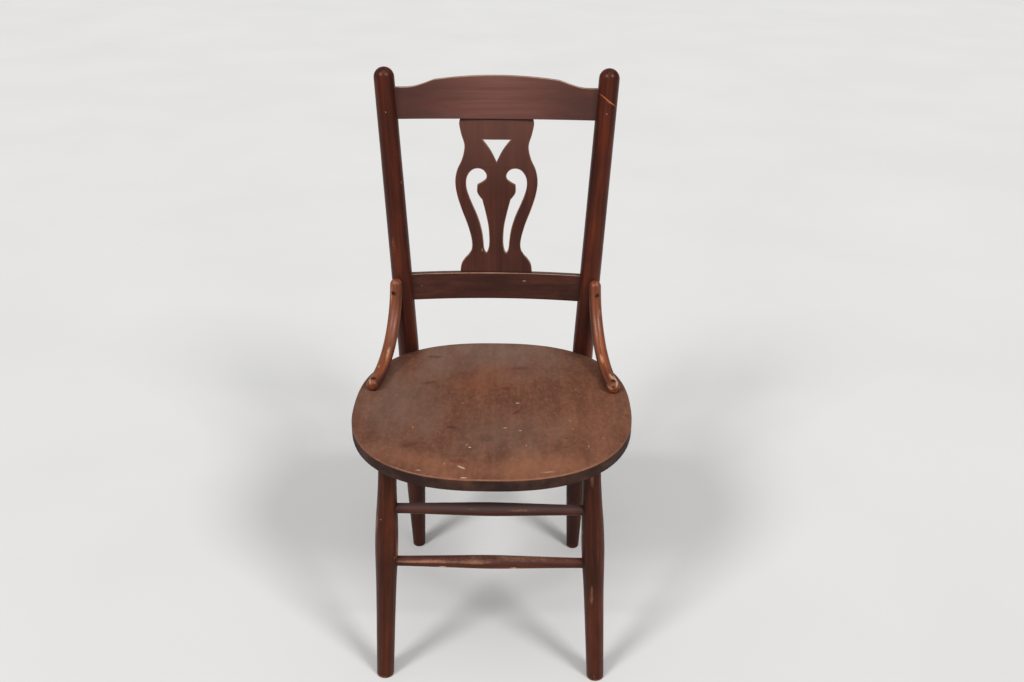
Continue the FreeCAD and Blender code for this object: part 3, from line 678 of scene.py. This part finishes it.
def build_seat():
    build = Builder()
    # grime and painted contact shade round the posts where they meet the seat
    contact = []
    for sign in (-1, 1):
        contact.append((Vector((sign * POST_AT_SEAT.x, POST_AT_SEAT.y, SEAT_TOP)), 0.021))
    top = SEAT_TOP
    profile = []                       # inset from the edge, level, wear and painted rim highlight
    for share in (0.0, 0.06, 0.14, 0.24, 0.35, 0.46, 0.57, 0.67, 0.76, 0.84, 0.90, 0.94, 0.965, 0.982):
        profile.append((SEAT_HALF_WIDTH * (1 - share), top, 0.0))
    for i in range(6):
        turn = math.pi / 2 * i / 5
        profile.append((SEAT_TOP_ROUND * (1 - math.sin(turn)), top - SEAT_TOP_ROUND * (1 - math.cos(turn)),
                        (0.0, 0.15, 0.55, 0.40, 0.10, 0.0)[i]))
    for share in (0.25, 0.5, 0.75):
        low = SEAT_BOTTOM + SEAT_BOTTOM_ROUND
        profile.append((0.0, top - SEAT_TOP_ROUND + (low - top + SEAT_TOP_ROUND) * share, 0.0))
    for i in range(5):
        turn = math.pi / 2 * i / 4
        profile.append((SEAT_BOTTOM_ROUND * (1 - math.cos(turn)),
                        SEAT_BOTTOM + SEAT_BOTTOM_ROUND * (1 - math.sin(turn)), 0.25 if 0 < i < 4 else 0.0))
    profile.append((0.012, SEAT_BOTTOM, 0.0))
    profile.append((SEAT_HALF_WIDTH * 0.5, SEAT_BOTTOM, 0.0))
    profile.append((SEAT_HALF_WIDTH, SEAT_BOTTOM, 0.0))

    rings = []
    for inset, level, worn_and_highlit in profile:
        shrink = 1 - inset / SEAT_HALF_WIDTH
        if shrink < 0.001:
            # the middle of the underside gets painted shade
            darkening = SEAT_UNDER_PAINTED_SHADE if level <= SEAT_BOTTOM else 0.0
            rings.append([build.vertex(Vector((0, SEAT_Y, level)), (0.0, 0.0, level), 0.0, darkening)])
            continue
        ring = []
        for k in range(SEAT_SIDES):
            ux, uy = seat_outline(2 * math.pi * k / SEAT_SIDES)
            x = ux * SEAT_HALF_WIDTH * shrink
            y = uy * SEAT_HALF_DEPTH * shrink
            dip = 0.0
            if 0 < worn_and_highlit:
                dip = 0.0005 * max(0.0, noise.noise(Vector((x * 45, y * 45, 3.0)))) * worn_and_highlit
            place = Vector((x * (1 - dip * 3), SEAT_Y + y * (1 - dip * 3), level - dip))
            # the rim's wear and painted highlight are strongest at the front
            front = 0.65 + 0.35 * max(0.0, -uy)
            # the side gets stain and painted shade, the underside painted shade
            side = SEAT_SIDE_STAIN_AND_SHADE if level < top - 0.7 * SEAT_TOP_ROUND else 0.0
            if inset > 0.01 and level <= SEAT_BOTTOM:
                side = SEAT_UNDER_PAINTED_SHADE
            dark = max(side, near(place, contact) * 0.8)
            ring.append(build.vertex(place, (y, x, level), worn_and_highlit * front, dark))
        rings.append(ring)
    for a, b in zip(rings, rings[1:]):
        build.bridge(a, b)
    piece("seat", build.mesh("seat"), SEAT_WOOD, ["seat_board"])


# ---------------------------------------------------------------- posts and legs

def post_path():
    low_way = (POST_KNEE - POST_FOOT).normalized()
    high_way = (POST_DOME - POST_KNEE).normalized()
    start = POST_KNEE - low_way * (POST_BEND * math.tan(low_way.angle(high_way) / 2))
    path, radii = foot_rings(POST_FOOT, low_way, POST_TAPER[0][1])
    lower = straight(path.pop(), start)
    radii.pop()
    bend, end = arc_points(start, low_way, high_way, POST_BEND)
    upper = straight(end, POST_DOME)
    for point in lower + bend:
        radii.append(smooth_table(POST_TAPER, min((point - POST_FOOT).length, POST_TAPER[-1][0])))
    for point in upper:
        share = (point - end).length / (POST_DOME - end).length
        radii.append(POST_RADIUS + (POST_TOP_RADIUS - POST_RADIUS) * share)
    dome, dome_radii = dome_rings(POST_DOME, high_way, POST_TOP_RADIUS)
    return path + lower + bend + upper + dome, radii + dome_radii


def post_screw():
    """Where the screw's recess enters the right-hand post, and the way in."""
    nx = (POST_KNEE.x / SEAT_HALF_WIDTH) ** (SEAT_SQUARENESS - 1) / SEAT_HALF_WIDTH
    ny = ((POST_KNEE.y - SEAT_Y) / SEAT_HALF_DEPTH) ** (SEAT_SQUARENESS - 1) / SEAT_HALF_DEPTH
    outward = Vector((nx, ny, 0)).normalized()
    return POST_KNEE + outward * POST_RADIUS, -outward


def build_posts():
    path, radii = post_path()
    for name, sign in BOTH_SIDES:
        side_path = path if sign > 0 else mirrored(path)
        # grime and painted contact shade where the post meets the seat and the rails
        joints = [
            (Vector((sign * (POST_AT_SEAT.x - 0.008), POST_AT_SEAT.y - 0.014, SEAT_TOP)), 0.010),
            (tilted(sign * (post_half_spacing(LOWER_RAIL[0]) - POST_RADIUS), 0.002, LOWER_RAIL[0]), 0.007),
            (tilted(sign * (post_half_spacing(CREST_BOTTOM) - POST_RADIUS), 0.002, CREST_BOTTOM), 0.007),
        ]

        def worn_and_highlit(length, angle, place):
            top = max(0.0, (length - 0.905) / 0.03)
            foot = max(0.0, 1 - length / 0.02)
            patch = patches(length * 9, angle, 1.3, sign * 5)
            return min(0.75, 0.25 * top + 0.5 * foot + max(0.0, patch - 0.32) * 1.3)

        build = rod(side_path, radii, RIGHT_POST_SEED - 1 + sign, wear_and_highlight=worn_and_highlit, dirt_and_shade=joints, floor=0.0)
        # painted shade below the seat, growing downwards
        for i, place in enumerate(build.verts):
            if place.z < SEAT_BOTTOM:
                shade = min(1.0, (SEAT_BOTTOM - place.z) / REAR_LEG_FADE)
                build.dirt_and_shade[i] = max(build.dirt_and_shade[i], REAR_LEG_PAINTED_SHADE * shade)
        post = piece("post_" + name, build.mesh("post_" + name), FRAME_WOOD,
                     ["rear_post_" + name])
        start, way = post_screw()
        if sign < 0:
            start, way = mirrored([start, way])
        cut_hole(post, start, way, POST_RECESS_RADIUS, POST_RECESS_DEPTH)


def build_front_legs():
    way = (LEG_TOP - LEG_FOOT).normalized()
    length = (LEG_TOP - LEG_FOOT).length
    path, radii = foot_rings(LEG_FOOT, way, LEG_SHAPE[0][1])
    body = straight(path.pop(), LEG_TOP + way * LEG_STUB)
    radii.pop()
    radii += [smooth_table(LEG_SHAPE, min(1.0, (p - LEG_FOOT).length / length)) for p in body]
    path += body + [LEG_TOP + way * LEG_STUB_CAP]
    radii.append(0.0)
    for name, sign in BOTH_SIDES:
        side_path = path if sign > 0 else mirrored(path)
        # grime and painted contact shade under the seat and round the stretchers
        joints = [(Vector((sign * LEG_TOP.x, LEG_TOP.y, SEAT_BOTTOM)), 0.017)]
        for height in (UPPER_STRETCHER_HEIGHT, LOWER_STRETCHER_HEIGHT):
            axis = LEG_FOOT.lerp(LEG_TOP, height / SEAT_BOTTOM)
            joints.append((Vector((sign * (axis.x - JOINT_INSET), axis.y, height)), 0.012))

        def worn_and_highlit(along, angle, place):
            foot = max(0.0, 1 - along / 0.018)
            patch = patches(along * 11, angle, 1.4, sign * 7)
            return min(0.8, 0.6 * foot + max(0.0, patch - 0.30) * 1.4)

        build = rod(side_path, radii, LEG_SEED + sign, wear_and_highlight=worn_and_highlit, dirt_and_shade=joints, floor=0.0)
        piece("front_leg_turned_" + name, build.mesh("front_leg_turned_" + name), LEG_WOOD,
              ["front_leg_" + name])


def build_stretcher(name, node, foot, top, height, seed, rub, painted_sheen_strength):
    right = foot.lerp(top, height / top.z)
    half = right.x - STRETCHER_STOP
    start = Vector((-half, right.y, height))
    path = straight(start, Vector((half, right.y, height))) + [Vector((half, right.y, height))]
    radii = [smooth_table(STRETCHER_SHAPE, (p.x + half) / half) for p in path]
    path = [path[0] - X * CAP_RISE] + path + [path[-1] + X * CAP_RISE]
    radii = [0.0] + radii + [0.0]
    # grime and painted contact shade where the stretcher enters the legs
    joints = []
    for sign in (-1, 1):
        joints.append((Vector((sign * (right.x - JOINT_INSET), right.y, height)), 0.011))

    def worn_and_highlit(length, angle, place):
        patch = noise.noise(Vector((length * 12 + seed, math.cos(angle), math.sin(angle))))
        upper = max(0.0, (place.z - height) / STRETCHER_SHAPE[0][1])
        return min(0.9, rub * (0.25 + upper * 0.5) + max(0.0, patch - 0.28) * 1.5)

    build = rod(path, radii, seed, wear_and_highlight=worn_and_highlit, dirt_and_shade=joints, sides=STRETCHER_SIDES)
    # painted sheen along the stretcher's top
    for i, place in enumerate(build.verts):
        build.painted_sheen[i] = painted_sheen_strength * min(1.0, max(0.0, (place.z - height) / STRETCHER_SHAPE[0][1] + 0.2))
    piece(name, build.mesh(name), LEG_WOOD, [node])


# ---------------------------------------------------------------- back

def crest_top(x):
    """Level of the crest rail's top edge: an arch, a soft corner, a hollow cove and a flat end."""
    x = abs(x)
    if x <= CREST_CORNER[0]:
        drop = CREST_TOP - CREST_CORNER[1]
        radius = (CREST_CORNER[0] ** 2 + drop ** 2) / (2 * drop)
        return CREST_TOP - radius + math.sqrt(radius ** 2 - x ** 2)
    cove = [(CREST_CORNER[0], CREST_CORNER[1])]
    cove += [(px, CREST_END + rise) for px, rise in reversed(CREST_COVE)]
    if x >= cove[-1][0]:
        return CREST_END
    return smooth_table(cove + [(0.17, CREST_END)], x)


def rounded_section(low, high, front, back, arris):
    """Points round a board's cross-section, with the wear and painted arris highlight of each: (y, level,
    wear and highlight).
    """
    points = []
    corners = ((front, low, 1, 1, 180), (back, low, -1, 1, 270),
               (back, high, -1, -1, 0), (front, high, 1, -1, 90))
    for i, (y, z, sy, sz, start) in enumerate(corners):
        centre = (y + sy * arris, z + sz * arris)
        for k in range(5):
            turn = math.radians(start + 90 * k / 4)
            worn_and_highlit = (0.35, 0.8, 1.0, 0.8, 0.35)[k]
            points.append((centre[0] + arris * math.cos(turn), centre[1] + arris * math.sin(turn), worn_and_highlit))
        ny, nz, nsy, nsz = corners[(i + 1) % 4][:4]
        turn = math.radians(start + 90)
        a = points[-1]
        b = (ny + nsy * arris + arris * math.cos(turn), nz + nsz * arris + arris * math.sin(turn))
        steps = 7 if i % 2 else 3
        for k in range(1, steps):
            share = k / steps
            points.append((a[0] + (b[0] - a[0]) * share, a[1] + (b[1] - a[1]) * share, 0.0))
    return points


def build_rail(name, node, low, top_at, top_wear_and_highlight, painted_sheen_strength, seed):
    half = post_half_spacing((low + top_at(1.0)) / 2)
    bow_radius = (half ** 2 + RAIL_BOW ** 2) / (2 * RAIL_BOW)
    build = Builder()
    rings = []
    for i in range(RAIL_STATIONS):
        x = half * (2 * i / (RAIL_STATIONS - 1) - 1)
        bow = RAIL_BOW - bow_radius + math.sqrt(bow_radius ** 2 - x ** 2)
        front = bow - RAIL_THICKNESS / 2
        back = bow + RAIL_THICKNESS / 2
        high = top_at(x)
        ring = []
        for y, along, worn_and_highlit in rounded_section(low, high, front, back, RAIL_ARRIS):
            upper = along > (low + high) / 2
            # the top arrises get more wear and painted highlight than the bottom ones
            amount = worn_and_highlit * (top_wear_and_highlight if upper else 0.45)
            # painted sheen on the front face, strongest in the middle
            painted_sheen = painted_sheen_strength * (0.25 + 0.75 * math.exp(-(x / PAINTED_SHEEN_HALF_WIDTH) ** 2)) if y < bow else 0.0
            # grime and painted contact shade near the posts
            end = max(0.0, 1 - (half - POST_RADIUS - abs(x)) / 0.008)
            wobble = 0.00012 * noise.noise(Vector((x * 30, y * 60, along * 30 + seed)))
            place = tilted(x, y + wobble, along)
            ring.append(build.vertex(place, (x + seed, along, y), amount, 0.55 * min(1.0, end), painted_sheen))
        rings.append(ring)
    for a, b in zip(rings, rings[1:]):
        build.bridge(a, b)
    build.faces.append(tuple(rings[0]))
    build.faces.append(tuple(reversed(rings[-1])))
    piece(name, build.mesh(name), RAIL_WOOD, [node], sharp=math.radians(60))


def below_crest(pairs):
    return [Vector((x * MM, CREST_BOTTOM - drop * MM)) for x, drop in pairs]


def splat_loops():
    """The splat's outline and its three openings, as closed loops of 2-D points."""
    base = [Vector((x * MM, LOWER_RAIL[1] + rise * MM)) for x, rise in SPLAT_BASE_EDGE]
    right = smooth_points(below_crest(SPLAT_EDGE) + [base[0]], 8)
    right += smooth_points(base, 8)[1:]
    right[-1].y -= 0.002
    right[0].y += 0.002
    outline = right + [Vector((-p.x, p.y)) for p in reversed(right)]
    comma = smooth_points(below_crest(SPLAT_COMMA), 6)[:-1] + smooth_points(below_crest(SPLAT_LOBE), 6)[:-1]
    other = [Vector((-p.x, p.y)) for p in reversed(comma)]
    corner, tip = below_crest(SPLAT_TRIANGLE)
    side = []
    for i in range(10):
        share = i / 10
        hollow = SPLAT_HOLLOW * MM * math.sin(math.pi * share)
        side.append(corner.lerp(tip, share) + Vector((-hollow, hollow)))
    triangle = side + [tip] + [Vector((-p.x, p.y)) for p in reversed(side)]
    return [outline, comma, other, triangle]


def build_splat():
    curve = bpy.data.curves.new("splat", "CURVE")
    curve.dimensions = "2D"
    curve.fill_mode = "BOTH"
    curve.extrude = SPLAT_THICKNESS / 2 - SPLAT_ARRIS
    curve.bevel_depth = SPLAT_ARRIS
    curve.bevel_resolution = 2
    curve.offset = -SPLAT_ARRIS
    for loop in splat_loops():
        spline = curve.splines.new("POLY")
        spline.points.add(len(loop) - 1)
        spline.use_cyclic_u = True
        for point, place in zip(spline.points, loop):
            point.co = (place.x, place.y, 0.0, 1.0)
    maker = bpy.data.objects.new("splat_curve", curve)
    mesh = bpy.data.meshes.new_from_object(maker)
    bpy.data.objects.remove(maker)
    bpy.data.curves.remove(curve)

    board = bmesh.new()
    board.from_mesh(mesh)
    bmesh.ops.remove_doubles(board, verts=board.verts, dist=0.00002)
    flat = SPLAT_THICKNESS / 2 - 0.00001
    for side in (-1, 1):
        faces = [f for f in board.faces if all(side * v.co.z > flat for v in f.verts)]
        bmesh.ops.inset_region(board, faces=faces, thickness=SPLAT_INSET, use_even_offset=True,
                               use_boundary=True)
    faces = [f for f in board.faces if all(abs(v.co.z) > flat for v in f.verts)]
    bmesh.ops.triangulate(board, faces=[f for f in faces if len(f.verts) > 4])
    board.to_mesh(mesh)
    board.free()

    rim = set()
    for polygon in mesh.polygons:
        if abs(polygon.normal.z) < 0.98:
            rim.update(polygon.vertices)
    grain = []
    wear_and_highlight = []
    dirt_and_shade = []
    painted_sheen = []
    for i, v in enumerate(mesh.vertices):
        x, along, y = v.co
        # the arrises get wear and a painted edge highlight
        edge = 1.0 if i in rim and abs(abs(y) - SPLAT_THICKNESS / 2) < SPLAT_ARRIS * 1.2 else 0.0
        ends = min(abs(along - CREST_BOTTOM), abs(along - LOWER_RAIL[1]))
        grain.append((along, x + 2.0, y))
        upper = min(1.0, max(0.0, 1 - (CREST_BOTTOM - along) / SPLAT_PAINTED_SHEEN_LENGTH))
        wear_and_highlight.append(edge * 0.62)
        # painted sheen near the crest rail
        painted_sheen.append(0.30 * upper)
        # grime and painted contact shade where the splat meets the rails
        dirt_and_shade.append(0.7 * max(0.0, 1 - ends / 0.004))
        v.co = tilted(x, SPLAT_SETBACK - y, along)
    put_values(mesh, grain, wear_and_highlight, dirt_and_shade, painted_sheen)
    piece("splat", mesh, SPLAT_WOOD, ["back_splat"], sharp=math.radians(35))


# ---------------------------------------------------------------- hip rests

def hip_path():
    back = Vector((-math.sin(HIP_TURN_OUT), math.cos(HIP_TURN_OUT), 0))
    rise = back * math.sin(LEAN) + Z * math.cos(LEAN)
    path = [HIP_END.copy(), HIP_END + back * END_GAP]
    radii = [0.0, HIP_RADIUS - HIP_END_ROUND]
    for i in range(1, 7):
        turn = math.pi / 2 * i / 6
        path.append(HIP_END + back * (HIP_END_ROUND * (1 - math.cos(turn)) + END_GAP))
        radii.append(HIP_RADIUS - HIP_END_ROUND * (1 - math.sin(turn)))
    start = HIP_END + back * HIP_LAY
    lay = straight(path.pop(), start)
    radii.pop()
    bend, end = arc_points(start, back, rise, HIP_BEND)
    dome_centre = end + rise * HIP_TOP
    top = straight(end, dome_centre)
    dome, dome_radii = dome_rings(dome_centre, rise, HIP_RADIUS)
    middle = lay + bend + top
    return path + middle + dome, radii + [HIP_RADIUS] * len(middle) + dome_radii


def hip_screw():
    """The screw near the right-hand rod's top: its recess on the surface, and the way in."""
    back = Vector((-math.sin(HIP_TURN_OUT), math.cos(HIP_TURN_OUT), 0))
    level = HIP_SCREW_LEVEL
    drop = level - HIP_END.z - HIP_BEND
    on_rod = HIP_END + back * (HIP_LAY + math.sqrt(HIP_BEND ** 2 - drop ** 2))
    on_rod.z = level
    on_post = POST_KNEE.lerp(POST_DOME, (level - POST_KNEE.z) / (POST_DOME.z - POST_KNEE.z))
    way = (on_post - on_rod).normalized()
    return on_rod - way * HIP_RADIUS, way


def build_hip_rests():
    path, radii = hip_path()
    for name, sign in BOTH_SIDES:
        side_path = path if sign > 0 else mirrored(path)

        def worn_and_highlit(length, angle, place):
            low = math.exp(-((length - 0.012) / 0.020) ** 2)
            mid = math.exp(-((length - 0.085) / 0.030) ** 2)
            patch = patches(length * 22, angle, 1.2, sign * 3)
            return min(0.9, 0.25 * low + 0.35 * mid + max(0.0, patch - 0.12) * 1.1)

        build = rod(side_path, radii, HIP_SEED + sign, wear_and_highlight=worn_and_highlit, sides=HIP_SIDES, waver=0.012,
                    floor=SEAT_TOP - 0.0003)
        # painted shade on the rod's sides, and a painted contact shadow along its bottom where it lies on
        # the seat
        for i, place in enumerate(build.verts):
            side = min(1.0, abs(build.grain[i][1] - HIP_SEED - sign) / HIP_RADIUS)
            painted_contact_shadow = max(0.0, 1 - (place.z - SEAT_TOP) / 0.0045) * 0.95
            build.dirt_and_shade[i] = max(painted_contact_shadow, HIP_EDGE_PAINTED_SHADE * side ** 3)
        hip = piece("hip_rest_bent_" + name, build.mesh("hip_rest_bent_" + name), HIP_WOOD,
                    ["hip_rest_" + name])
        start, way = hip_screw()
        if sign < 0:
            start, way = mirrored([start, way])
        cut_hole(hip, start, way, HIP_RECESS_RADIUS, HIP_RECESS_DEPTH)
        low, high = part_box("hip_rest_seat_screws")
        head = Vector((sign * (high[0] - SEAT_SCREW_INSET), (low[1] + high[1]) / 2,
                       HIP_END.z + HIP_RADIUS))
        cut_hole(hip, head, -Z, SEAT_SCREW_RECESS_RADIUS, SEAT_SCREW_RECESS_DEPTH)


# ---------------------------------------------------------------- fasteners

def nail_head(name, place, outward, nodes):
    """A slightly domed round head."""
    path = [place - outward * 0.001]
    radii = [0.0]
    for i in range(7):
        turn = math.pi / 2 * i / 6
        path.append(place + outward * (0.0006 * math.sin(turn)))
        radii.append(NAIL_RADIUS * math.cos(turn) if i < 6 else 0.0)
    path.insert(1, place - outward * 0.0009)
    radii.insert(1, NAIL_RADIUS)
    build = rod(path, radii, 1.0, sides=NAIL_SIDES, waver=0.02)
    piece(name, build.mesh(name), NAIL_STEEL, nodes)


def build_fasteners():
    for node in ("post_seat_screws", "hip_rest_post_screws", "hip_rest_seat_screws"):
        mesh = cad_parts[node].data
        mesh.materials.clear()
        mesh.materials.append(SCREW_STEEL_WITH_PAINTED_SHADE)
    low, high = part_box("crest_rail_nails")
    for name, x in (("right", high[0] - CREST_NAIL_INSET), ("left", low[0] + CREST_NAIL_INSET)):
        place = Vector((x, low[1] + CREST_NAIL_SUNK, (low[2] + high[2]) / 2))
        nail_head("crest_nail_" + name, place, Vector((0, -1, 0)), ["crest_rail_nails"])
    low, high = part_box("front_leg_nail")
    outward = Vector((-math.sin(LEG_NAIL_TURN), -math.cos(LEG_NAIL_TURN), 0))
    middle = (Vector(low) + Vector(high)) / 2
    nail_head("leg_nail", middle + outward * LEG_NAIL_REACH, outward, ["front_leg_nail"])


# ---------------------------------------------------------------- stage, light and camera

FLOOR_SIZE = 30.0
SENSOR = 36.0                  # millimetres, as is the lens
LENS = 36.9140625
CAMERA_PLACE = Vector((0.0479, SEAT_Y - 1.5294, 1.3011))
CAMERA_YAW = math.radians(0.591)
CAMERA_PITCH = math.radians(26.11)
CAMERA_ROLL = math.radians(0.345)


def build_stage():
    mesh = bpy.data.meshes.new("floor")
    half = FLOOR_SIZE / 2
    corners = [(-half, -half, 0), (half, -half, 0), (half, half, 0), (-half, half, 0)]
    mesh.from_pydata(corners, [], [(0, 1, 2, 3)])
    floor = bpy.data.objects.new("floor", mesh)
    mesh.materials.append(stage_material("floor", srgb(214, 213, 211)))
    bpy.context.scene.collection.objects.link(floor)


def add_sun(name, way, spread, strength):
    """A soft light that comes evenly from one direction."""
    light = bpy.data.lights.new(name, "SUN")
    light.angle = math.radians(spread)
    light.energy = strength
    lamp = bpy.data.objects.new(name, light)
    lamp.rotation_euler = Vector(way).to_track_quat("-Z", "Y").to_euler()
    bpy.context.scene.collection.objects.link(lamp)


def build_light():
    add_sun("left", (1.0, 1.15, -1.3), 16, 1.75)
    add_sun("right", (-1.0, 1.10, -1.3), 16, 1.75)
    add_sun("above", (0.0, 0.25, -1.0), 30, 0.5)
    world = bpy.context.scene.world or bpy.data.worlds.new("world")
    bpy.context.scene.world = world
    world.use_nodes = True
    sky = world.node_tree.nodes["Background"]
    sky.inputs["Color"].default_value = srgb(232, 233, 235)
    sky.inputs["Strength"].default_value = 0.40


def build_camera():
    forward = Vector((-math.sin(CAMERA_YAW) * math.cos(CAMERA_PITCH),
                      math.cos(CAMERA_YAW) * math.cos(CAMERA_PITCH), -math.sin(CAMERA_PITCH)))
    right = Vector((math.cos(CAMERA_YAW), math.sin(CAMERA_YAW), 0))
    up = right.cross(forward)
    rolled_right = right * math.cos(CAMERA_ROLL) + up * math.sin(CAMERA_ROLL)
    rolled_up = up * math.cos(CAMERA_ROLL) - right * math.sin(CAMERA_ROLL)
    turn = Matrix((rolled_right, rolled_up, -forward)).transposed()
    data = bpy.data.cameras.new("camera")
    data.sensor_width = SENSOR
    data.lens = LENS
    camera = bpy.data.objects.new("camera", data)
    camera.matrix_world = Matrix.Translation(CAMERA_PLACE) @ turn.to_4x4()
    bpy.context.scene.collection.objects.link(camera)
    bpy.context.scene.camera = camera


# ---------------------------------------------------------------- the chair

build_seat()
build_posts()
build_front_legs()
# the last two numbers: wear on top, painted sheen
build_stretcher("stretcher_upper", "front_stretcher_upper", LEG_FOOT, LEG_TOP,
                UPPER_STRETCHER_HEIGHT, UPPER_STRETCHER_SEED, 0.20, 0.65)
build_stretcher("stretcher_lower", "front_stretcher_lower", LEG_FOOT, LEG_TOP,
                LOWER_STRETCHER_HEIGHT, LOWER_STRETCHER_SEED, 0.55, 0.30)
build_stretcher("stretcher_rear", "rear_stretcher", POST_FOOT, POST_KNEE,
                REAR_STRETCHER_HEIGHT, REAR_STRETCHER_SEED, 0.3, 0.0)
# the last numbers: wear and painted highlight on the top arrises, painted sheen, seed
build_rail("crest", "crest_rail", CREST_BOTTOM, crest_top, 0.9, 0.50, CREST_SEED)
build_rail("lower_rail", "lower_back_rail", LOWER_RAIL[0], lambda x: LOWER_RAIL[1], 0.9, 0.0,
           LOWER_RAIL_SEED)
build_splat()
build_hip_rests()
build_fasteners()
build_stage()
build_light()
build_camera()
bpy.context.scene.view_settings.view_transform = "Standard"
